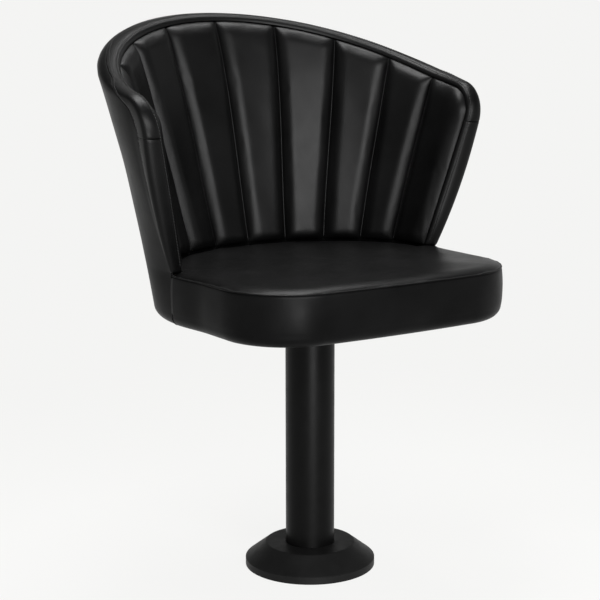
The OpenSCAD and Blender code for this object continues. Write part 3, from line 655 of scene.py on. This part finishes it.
def band_grid(skin):
    lines = [(band_line(float(i)), z) for i, z in band_rows(skin)]
    return np.array([np.column_stack([line, np.full(len(line), z)]) for line, z in lines])


def above_foot(z):
    """0 at the underside, rising to 1 a little above it."""
    return smooth((z - LOW_Z - CALM_FOOT) / CALM_RUN)


outer, inner = band_grid(0), band_grid(LEATHER)
z = outer[..., 2]
ripple = waves(outer, *BAND_WAVE, 9) * above_foot(z) * smooth((SEAM_Z - z) / CALM_SEAM)
outer -= normals_of(outer) * ripple[..., None]
piece("seat_band", *closed_slab(outer, inner), OUTSIDE_HIDE, replaces=("seat_boxing",), fill=0.7)

# Top-stitching beside the seat's seam, along its front and sides
STITCH_RING = 3
first = half_outline(0)[1] - JOG_POINTS + 1
front_part = slice(first, top.shape[1] - first)
stitch_row = top[STITCH_RING, front_part]
up = np.tile([0.0, 0.0, 1.0], (len(stitch_row), 1))
piece("seat_stitches", *stitches(stitch_row, up), THREAD)

# Fine ridge at the seat's seam
WELT_INSET, WELT_LIFT, WELT_R = 0.4, 0.1, 0.6
seam_line = both_halves(half_outline(WELT_INSET)[0])
seam_line = np.column_stack([seam_line, np.full(len(seam_line), SEAM_Z + WELT_LIFT)])
piece("seat_seam_ridge", *tube(seam_line[front_part], WELT_R), HIDE)

# The shell's edge: over the rim, round its corners and down the arms' fronts
# The corner's first and the arm's first points lie close together, where a crisp cross seam ends
CORNER_FROM = 1 - RIM_R / ARM_RUN * LAST_SHARE
corner_turns = np.radians([*np.linspace(0, 87.4, 24)[1:], 88.8, 90])
rim_part = [(f, float(rim_z(f))) for f in np.linspace(0, CORNER_FROM, 96)]
corner_part = [(f, float(rim_z(f))) for f in mix(CORNER_FROM, 1, np.sin(corner_turns))]
arm_heights = mix(corner_part[-1][1], FLUTE_FOOT_Z, np.array([0.004, *np.linspace(0.012, 1, 70)]))
half_edge = np.array(rim_part + corner_part + [(1.0, z) for z in arm_heights])
edge_line = np.concatenate([half_edge[:0:-1] * [-1, 1], half_edge])
ARM_STEPS = len(arm_heights)
last_point = len(edge_line) - 1

# Where the outer seam starts to move inward, over what share, and where it starts outward over the edge
MIDWAY_FROM, MIDWAY_RUN, OVER_FROM = 0.4, 0.25, 0.76


def on_edge(u):
    """Distance beyond the wall's outer edge for a run u over the edge: on the roll if negative."""
    return np.where(u < 0, u * np.minimum(1, -u / EDGE_TURN), u)


class Edge:
    """Sections of the shell's edge at a row of places: a roll over the wall, then the outside face."""

    def __init__(self, s, z):
        self.s, self.z, self.f = s, z, np.abs(s)
        self.t = wall(self.f, z)
        self.start = shell_point(s, z, 0)
        self.out = (shell_point(s, z, self.t) - self.start) / self.t[:, None]
        self.away = np.cross(np.gradient(self.start, axis=0), self.out)
        self.away /= np.linalg.norm(self.away, axis=1, keepdims=True)
        self.crown = np.minimum(RIM_CROWN, CROWN_WALL * self.t)
        reach = (1 - self.f) / LAST_SHARE * ARM_RUN
        self.turned = np.arccos(np.clip((RIM_R - reach) / RIM_R, 0, 1))

    def run(self):
        """Run of the outer seam past the edge, over the rim and down the arm's front."""
        on_rim = mix(WRAP_TOP, MIDWAY, smooth((self.f - MIDWAY_FROM) / MIDWAY_RUN))
        on_rim += (WRAP + CORNER_WRAP - MIDWAY) * smooth((self.f - OVER_FROM) / (1 - OVER_FROM))
        return np.where(self.f < 1, on_rim, wrap_width(self.z))

    def seam(self, past=0.0):
        """Distance of the outer seam beyond the wall's outer edge."""
        return on_edge(self.run() + past)

    def roll(self, a, d=0.0, lift=0.0):
        """Points of the roll at distance a across the wall, d inside its face."""
        a = np.clip(a, 0, self.t)
        cos = 1 - 2 * a / self.t
        h = self.crown * np.sqrt(1 - cos**2) ** ROLL_POWER + lift
        x, y = self.t / 2 - a, -h
        size = np.maximum(np.hypot(x, y), SMALL)
        return self.start + self.out * (a + d * x / size)[:, None] + self.away * (h + d * y / size)[:, None]

    def point(self, q, d=0.0):
        """Points q beyond the wall's outer edge, along the outside face, and d inside it."""
        q, d = np.broadcast_to(q, self.f.shape), np.broadcast_to(d, self.f.shape)
        over = np.maximum(q, 0)
        f = self.f - over * np.cos(self.turned) / ARM_RUN * LAST_SHARE
        z = self.z - over * np.sin(self.turned)
        face = shell_point(np.where(self.s < 0, -1, 1) * f, z, wall(f, z) - d)
        return np.where((q > 0)[:, None], face, self.roll(self.t + np.minimum(q, 0), d))


edge = Edge(edge_line[:, 0], edge_line[:, 1])

# Outside back: one smooth skin round the shell, over its rim to the outer seam, and under at its foot
LAST_COLUMN = 1 - (WRAP + CORNER_WRAP + SEAM_GAP) / ARM_RUN * LAST_SHARE
half_shares = np.concatenate([
    np.linspace(0, CORNER_FROM, 70),
    mix(CORNER_FROM, 1, np.sin(np.linspace(0, math.pi / 2, 18)[1:-1])),
    [0.9975, 1.0],
])
shares = np.concatenate([-half_shares[:0:-1], half_shares])
SEAM_ROWS = np.array([24, 18, 13.5, 10, 7.2, 5.2, 3.8, 2.8, 2, 1.3, 0.6, 0])
SKIN_TUCK, LOW_ROWS, HIGH_ROWS, FADE_ROWS, FADE_SHARE = 1.1, 8, 56, 22, 0.04

# Path of the outer seam, traced finely, and the skin's columns that end at it
trace = np.linspace(0.6, 1, 600)
dense = Edge(trace, rim_z(trace))
reach = np.maximum(np.where(dense.f < 1, dense.run(), WRAP + CORNER_WRAP) + SEAM_GAP, 0)
seam_f = dense.f - reach * np.cos(dense.turned) / ARM_RUN * LAST_SHARE
seam_z = dense.z - reach * np.sin(dense.turned)
columns = Edge(shares * LAST_COLUMN, rim_z(np.abs(shares) * LAST_COLUMN))
column_run = columns.run() + SEAM_GAP
rolled_over = (column_run <= 0) & (columns.f < CORNER_FROM)
column_top = np.where(rolled_over, columns.z, np.interp(columns.f, seam_f, seam_z))


def skin_row(z, d):
    """Points of the outside skin at heights z, d inside its face, sunk and tucked in along the border."""
    end = 1 - (wrap_width(z) + SEAM_GAP) / ARM_RUN * LAST_SHARE
    f = np.abs(shares) * np.broadcast_to(end, shares.shape)
    tuck = np.where(np.abs(shares) >= 1, SKIN_TUCK, 0.0) * (d == 0)
    before_arm = np.clip(1 - (end - f) / LAST_SHARE * ARM_RUN / SINK_W, 0, 1) ** 2
    before_rim = np.clip(1 - (column_top - z) / SINK_W, 0, 1) ** 2
    arm_sink = np.clip(wrap_width(z) / WRAP, 0, 1) * before_arm
    rim_sink = np.clip(columns.seam() / WRAP, 0, 1) * before_rim
    sink = SINK * np.where(z < FLUTE_FOOT_Z, 0, np.maximum(arm_sink, rim_sink))
    return shell_point(np.sign(shares) * f, z, wall(f, z) - d - tuck - sink)


def skin_grid(skin):
    """Rows of the skin's outer or inner face, from under the board up to the outer seam."""
    rows = [skin_row(z, i) for i, z in under_rows(skin)]
    rows += [skin_row(mix(LOW_Z + UNDER_R, SHELL_Z, k), skin) for k in np.linspace(0, 1, LOW_ROWS)[1:-1]]
    below = column_top - np.where(rolled_over, on_edge(column_run + SEAM_ROWS[0]), SEAM_ROWS[0])
    rows += [skin_row(mix(SHELL_Z, below, k), skin) for k in np.linspace(0, 1, HIGH_ROWS)[:-1]]
    for offset in SEAM_ROWS:
        tuck = SKIN_TUCK if offset == 0 and skin == 0 else 0.0
        face = skin_row(column_top - offset, skin + tuck)
        over = columns.point(on_edge(column_run + offset), skin + tuck)
        rows.append(np.where(rolled_over[:, None], over, face))
    return np.array(rows)


outer, inner = skin_grid(0), skin_grid(LEATHER)
n_rows = len(outer)
fade = smooth((n_rows - 1 - np.arange(n_rows))[:, None] / FADE_ROWS)
fade = fade * smooth((1 - np.abs(shares))[None, :] / FADE_SHARE)
ripple = waves(outer, *SKIN_WAVE, 13) * above_foot(outer[..., 2]) * fade
outer -= normals_of(outer) * ripple[..., None]
piece("outside_back_skin", *closed_slab(outer, inner), OUTSIDE_HIDE, replaces=("outside_back",))

# Rounded border over the rim and down the arms' fronts, lapped round the outside to its seam
SECTION = np.concatenate([np.linspace(0, 0.3, 21), np.linspace(0.32, 1, 30)])
LAP = np.array([0.15, 0.3, 0.45, 0.6, 0.75, 0.88, 1.0])
# Grooves: depth and width at the stitched strip, depth and run at the cross seams, and the lap's edge
STRIP_DIP, STRIP_DIP_W, CROSS_DIP, CROSS_RUN, EDGE_DIP = 0.5, 0.8, 1.2, 1.6, 0.8
# The lap: height of its puff, how its sink grows, and its swell's power
PUFF, SINK_POWER, ROLL_SWELL = 0.4, 1.6, 0.8
# The border's folded edge: shares of the way back from the seam, depths inside the face, how far back
# it reaches, and how far the rings at the cross seams are capped inside the edge
FOLD = ((0, 1.2), (0, 2.5), (0.5, 2.6), (1, 2.8))
FOLD_END, FOLD_RUN, CAP_INSET = 0.3, 1.6, 1.2


def border_rings():
    """Section rings at every point of the edge, with a top-stitched strip by the inner seam."""
    u, t = edge.seam(), edge.t
    last = np.arccos(np.clip(1 - 2 * (t + np.minimum(u, 0)) / t, -1, 1))
    ends = np.array([0, ARM_STEPS, last_point - ARM_STEPS, last_point])
    along = np.concatenate([[0], np.cumsum(np.linalg.norm(np.diff(edge.start, axis=0), axis=1))])
    end = 1 - smooth(np.abs(along[:, None] - along[ends][None]).min(1) / CROSS_RUN)
    rings = []
    for k in SECTION:
        a = t * (1 - np.cos(last * k)) / 2
        groove = STRIP_DIP * np.exp(-(((a - STRIP) / STRIP_DIP_W) ** 2)) + CROSS_DIP * end * np.sin(last * k)
        rings.append(edge.roll(a, lift=-groove))
    sink = SINK * np.clip(u / WRAP, 0, 1)
    for k in LAP:
        lapped = np.clip(u / 2, 0, 1)
        inward = EDGE_DIP * k * np.clip(1 - u / 2, 0, 1) + EDGE_DIP * end * lapped + sink * k**SINK_POWER
        puffed = PUFF * math.sin(math.pi * k) * (u > 1)
        rings.append(edge.point(np.minimum(u, 0) + k * np.maximum(u, 0), inward - puffed))
    back = np.minimum(FOLD_END, u - FOLD_RUN)
    for k, d in FOLD:
        rings.append(edge.point(mix(u, back, k), d + sink * (1 - k)))
    return np.array(rings).swapaxes(0, 1)


border = border_rings()
spans = {
    "arm_front_l": (0, ARM_STEPS, "arm_front_left"),
    "rim_band_roll": (ARM_STEPS, last_point - ARM_STEPS, "rim_band"),
    "arm_front_r": (last_point - ARM_STEPS, last_point, "arm_front_right"),
}
roll = border[:, :len(SECTION)]
swollen = np.sin(math.pi * SECTION) ** ROLL_SWELL
roll += edge.away[:, None] * (waves(roll, *ROLL_WAVE, 21) * swollen[None, :])[..., None]
for name, (low, high, node) in spans.items():
    points, faces = closed_rings(border[low:high + 1])
    for at, i in ((-2, low), (-1, high)):
        across = edge.t[i] - CAP_INSET + min(0, float(edge.seam()[i]))
        points[at] = edge.start[i] + edge.out[i] * across + edge.away[i]
    piece(name, points, faces, HIDE, replaces=(node,), fill=0.7)

# Stitches along the strip beside the border's inner seam, and before its outer seam
STRIP_DEPTH, LAP_STITCH, LAP_SINK, PAST_CROSS = -0.35, -3.0, 0.66, 14
strip = np.full(len(edge.t), STRIP)
inner_row = edge.roll(strip, lift=STRIP_DEPTH)
inner_away = edge.roll(strip, -1, STRIP_DEPTH) - inner_row
piece("rim_stitches", *stitches(inner_row[3:-3], inner_away[3:-3], radius=0.55), THREAD)
outer_sink = LAP_SINK * SINK * np.clip(edge.seam() / WRAP, 0, 1)
outer_row = edge.point(edge.seam(LAP_STITCH), outer_sink)
outer_away = edge.point(edge.seam(LAP_STITCH), outer_sink - 1) - outer_row
part = slice(ARM_STEPS - PAST_CROSS, last_point - ARM_STEPS + PAST_CROSS + 1)
piece("lap_stitches", *stitches(outer_row[part], outer_away[part]), THREAD)

# Leather strip that closes the shell's front ends beside the seat, with a fine ridge down the side.
# Section: distance past the wall's outer edge, and depth before or behind the shell's end.
STRIP_FROM, STRIP_FACE, STRIP_BACK, STRIP_POINTS = 1.0, 0.30, -0.6, 48
RIDGE = ((-0.6, 0.30), (0.1, 0.34), (0.62, 0.1), (0.72, -0.3), (0.5, -0.72), (-0.2, -0.82), (-1.2, -0.6))
for side, word in ((-1, "left"), (1, "right")):
    rings = []
    for z in np.linspace(LOW_Z + 1.6, FLUTE_FOOT_Z - LAY, STRIP_POINTS):
        drop = max(0.0, LOW_Z + UNDER_R - z)
        end = ARM_WALL - (UNDER_R - math.sqrt(UNDER_R**2 - drop**2))
        inner_end, outer_end = shell_point(side, z, STRIP_FROM), shell_point(side, z, end)
        e = (outer_end - inner_end) / np.linalg.norm(outer_end - inner_end)
        n = np.array([e[1], -e[0], 0]) * side
        section = [(end + u, v) for u, v in RIDGE]
        section = [(STRIP_FROM, STRIP_FACE), *section, (STRIP_FROM, STRIP_BACK)]
        rings.append([inner_end + e * (u - STRIP_FROM) + n * v for u, v in section])
    points, faces = closed_rings(np.array(rings), side > 0)
    piece(f"side_seam_{word}", points, faces, EDGE)

# Cloth under the seat, tacked along its edge
CLOTH_INSET = UNDER_R + LAP_W + 2
CLOTH_Z, CLOTH_T, CLOTH_RINGS, CLOTH_SAG, SAG_POWER, CLOTH_BACK = 410.3, 0.6, 24, 0.1, 0.3, 8


def cloth_outline(inset):
    """The underside's outline at a distance inside the leather's edge."""
    f = np.linspace(0, 1, 41)[:-1]
    back = shell_point(f, LOW_Z, wall(f, LOW_Z) - inset)[:, :2]
    half, start = half_outline(inset)
    return both_halves(np.concatenate([back[back[:, 1] > CLOTH_BACK], half[start:]]))


cloth_edge = cloth_outline(CLOTH_INSET)
centre = cloth_edge.mean(0)
rings = []
for k in np.linspace(1, 0.02, CLOTH_RINGS):
    plan = centre + k * (cloth_edge - centre)
    rings.append(np.column_stack([plan, np.full(len(plan), CLOTH_Z)]))
lower = np.array(rings)
sag = waves(lower, *CLOTH_WAVE, 31) - CLOTH_SAG
lower[..., 2] += sag * np.linspace(0, 1, CLOTH_RINGS)[:, None] ** SAG_POWER
upper = lower[::-1] + [0, 0, CLOTH_T]
points, faces = closed_rings(np.concatenate([lower[::-1], upper[::-1]]), True)
LINING = lining("under_cloth_lining")
cloth = piece("under_cloth", points, faces, LINING, replaces=("dust_cover",), slot="lining_cloth")

# Camera at the photograph's angle
scene = bpy.context.scene
camera = bpy.data.objects.new("camera", bpy.data.cameras.new("camera"))
scene.collection.objects.link(camera)
scene.camera = camera
camera.data.sensor_width = 36
camera.data.lens = 95.29
camera.data.shift_x = -10 / 600
camera.data.clip_end = 50
CAMERA_AIM = Vector((0, 0, 0.4216))
camera.location = (-1.3336, -1.9855, 0.8786)
camera.rotation_mode = "QUATERNION"
camera.rotation_quaternion = (CAMERA_AIM - camera.location).to_track_quat("-Z", "Y")

# Pale floor and surroundings
PALE, FLOOR_HALF = (0.905, 0.905, 0.895, 1), 9
corners = [(x * FLOOR_HALF, y * FLOOR_HALF, 0) for x, y in ((-1, -1), (1, -1), (1, 1), (-1, 1))]
floor_mesh = bpy.data.meshes.new("floor")
floor_mesh.from_pydata(corners, [], [(0, 1, 2, 3)])
floor = bpy.data.objects.new("floor", floor_mesh)
scene.collection.objects.link(floor)


def background_rays(tree):
    """1 for a ray that sees the background: from the camera, a gloss or something clear."""
    rays = tree.nodes.new("ShaderNodeLightPath")
    value = rays.outputs["Is Camera Ray"]
    for name in ("Is Glossy Ray", "Is Transmission Ray"):
        most = tree.nodes.new("ShaderNodeMath")
        most.operation = "MAXIMUM"
        tree.links.new(value, most.inputs[0])
        tree.links.new(rays.outputs[name], most.inputs[1])
        value = most.outputs[0]
    return value


# The floor: a surface that takes the shadow near the object, blended with the background's tone
NEAR, FAR, NEAR_GLOW, NEAR_SHARE = 0.5, 1.3, 1.08, 0.88
ground = Nodes("floor_material")
ground.finish((0.42, 0.42, 0.415, 1), 0.9)
far = ground.add("ShaderNodeVectorMath", {0: ground.place}, operation="LENGTH").outputs["Value"]
strength = ground.span(far, NEAR, FAR, NEAR_GLOW, 1.0)
glow = ground.add("ShaderNodeEmission", {"Strength": strength}, Color=PALE)
clear = ground.span(far, NEAR, FAR, NEAR_SHARE, 1.0)
seen = ground.add("ShaderNodeMath", {0: background_rays(ground.tree), 1: clear}, operation="MULTIPLY")
surfaces = {0: seen.outputs[0], 1: ground.shader.outputs[0], 2: glow.outputs[0]}
blend = ground.add("ShaderNodeMixShader", surfaces)
ground.tree.links.new(blend.outputs[0], ground.tree.nodes["Material Output"].inputs["Surface"])
floor_mesh.materials.append(ground.material)

# The world: a dim grey that lights, and a pale background for the camera and for reflections
world = bpy.data.worlds.new("studio")
scene.world = world
world.use_nodes = True
tree = world.node_tree
plain = tree.nodes["Background"]
plain.inputs["Color"].default_value = (0.5, 0.5, 0.5, 1)
plain.inputs["Strength"].default_value = 0.3
pale = tree.nodes.new("ShaderNodeBackground")
pale.inputs["Color"].default_value = PALE
# Reflections: pale up to a little above the horizon, and darker towards the ceiling
towards = tree.nodes.new("ShaderNodeTexCoord")
upward = tree.nodes.new("ShaderNodeSeparateXYZ")
ceiling = tree.nodes.new("ShaderNodeMapRange")
ceiling.interpolation_type = "SMOOTHSTEP"
for key, value in zip(MAP_RANGE, (0.15, 0.5, 1.0, 0.15)):
    ceiling.inputs[key].default_value = value
tree.links.new(towards.outputs["Generated"], upward.inputs[0])
tree.links.new(upward.outputs["Z"], ceiling.inputs["Value"])
seen_plain = tree.nodes.new("ShaderNodeMath")
seen_plain.operation = "MAXIMUM"
tree.links.new(ceiling.outputs["Result"], seen_plain.inputs[0])
camera_ray = tree.nodes.new("ShaderNodeLightPath").outputs["Is Camera Ray"]
tree.links.new(camera_ray, seen_plain.inputs[1])
tree.links.new(seen_plain.outputs[0], pale.inputs["Strength"])
mixed = tree.nodes.new("ShaderNodeMixShader")
tree.links.new(background_rays(tree), mixed.inputs[0])
tree.links.new(plain.outputs[0], mixed.inputs[1])
tree.links.new(pale.outputs[0], mixed.inputs[2])
tree.links.new(mixed.outputs[0], tree.nodes["World Output"].inputs["Surface"])


def softbox(name, azimuth, elevation, distance, width, height, energy, aim=(0, 0, 0.55)):
    """A soft lamp seen from the object at an azimuth from the front, positive to the right."""
    data = bpy.data.lights.new(name, "AREA")
    data.shape = "RECTANGLE"
    data.size, data.size_y, data.energy = width, height, energy
    lamp = bpy.data.objects.new(name, data)
    scene.collection.objects.link(lamp)
    lamp.visible_camera = False
    a, e = math.radians(azimuth), math.radians(elevation)
    aim = Vector(aim)
    direction = Vector((math.sin(a) * math.cos(e), -math.cos(a) * math.cos(e), math.sin(e)))
    lamp.location = aim + distance * direction
    lamp.rotation_mode = "QUATERNION"
    lamp.rotation_quaternion = (aim - lamp.location).to_track_quat("-Z", "Y")


softbox("key_light", -15, 24, 2.4, 1.9, 0.85, 90)
softbox("low_light", -20, 0, 2.2, 0.8, 0.4, 36, aim=(0, 0, 0.2))
softbox("back_light", 130, 62, 2.2, 0.9, 0.7, 26, aim=(0, 0, 0.65))
softbox("top_light", -150, 84, 1.95, 0.9, 0.6, 44)

scene.view_settings.view_transform = "Standard"
